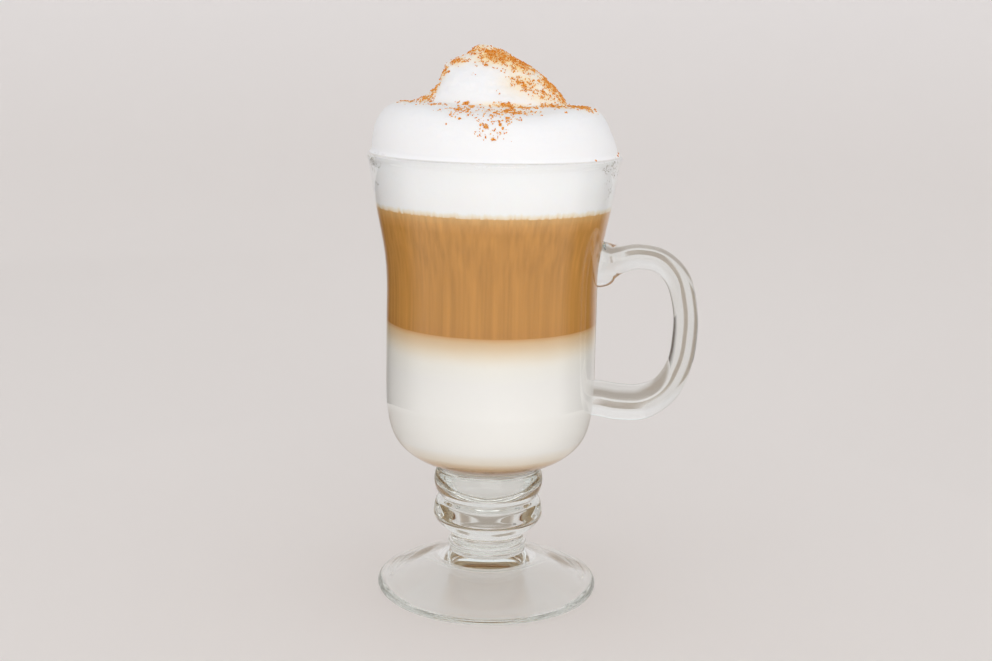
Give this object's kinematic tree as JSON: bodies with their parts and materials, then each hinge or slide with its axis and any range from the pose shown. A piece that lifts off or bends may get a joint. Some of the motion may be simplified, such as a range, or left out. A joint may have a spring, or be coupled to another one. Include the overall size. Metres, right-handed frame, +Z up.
{
  "type": "cappuccino",
  "caption": "Layered cappuccino in a clear footed glass mug with one handle; milk foam domes over the rim and ends in a peak dusted with cinnamon.",
  "frame": {"origin": "centre of the foot's flat underside, on the mug's axis", "axes": "+Z up along the mug's axis, +X towards the handle, -Y towards the side that the picture shows"},
  "size_m": [0.1015, 0.0764, 0.168],
  "materials": {
    "glass": "clear pressed glass, faintly green where thick",
    "settled_coffee": "thin brown layer of coffee settled under milk",
    "milk": "warm white milk",
    "milky_layer": "milk and coffee blending from white to light brown",
    "coffee": "light brown coffee with milk",
    "milk_foam": "fine white milk foam, dusted with cinnamon"
  },
  "bodies": {
    "root": {"glass_mug": "glass", "settled_coffee": "settled_coffee", "milk": "milk", "milky_layer": "milky_layer", "coffee": "coffee", "milk_foam": "milk_foam"}
  },
  "joints": []
}
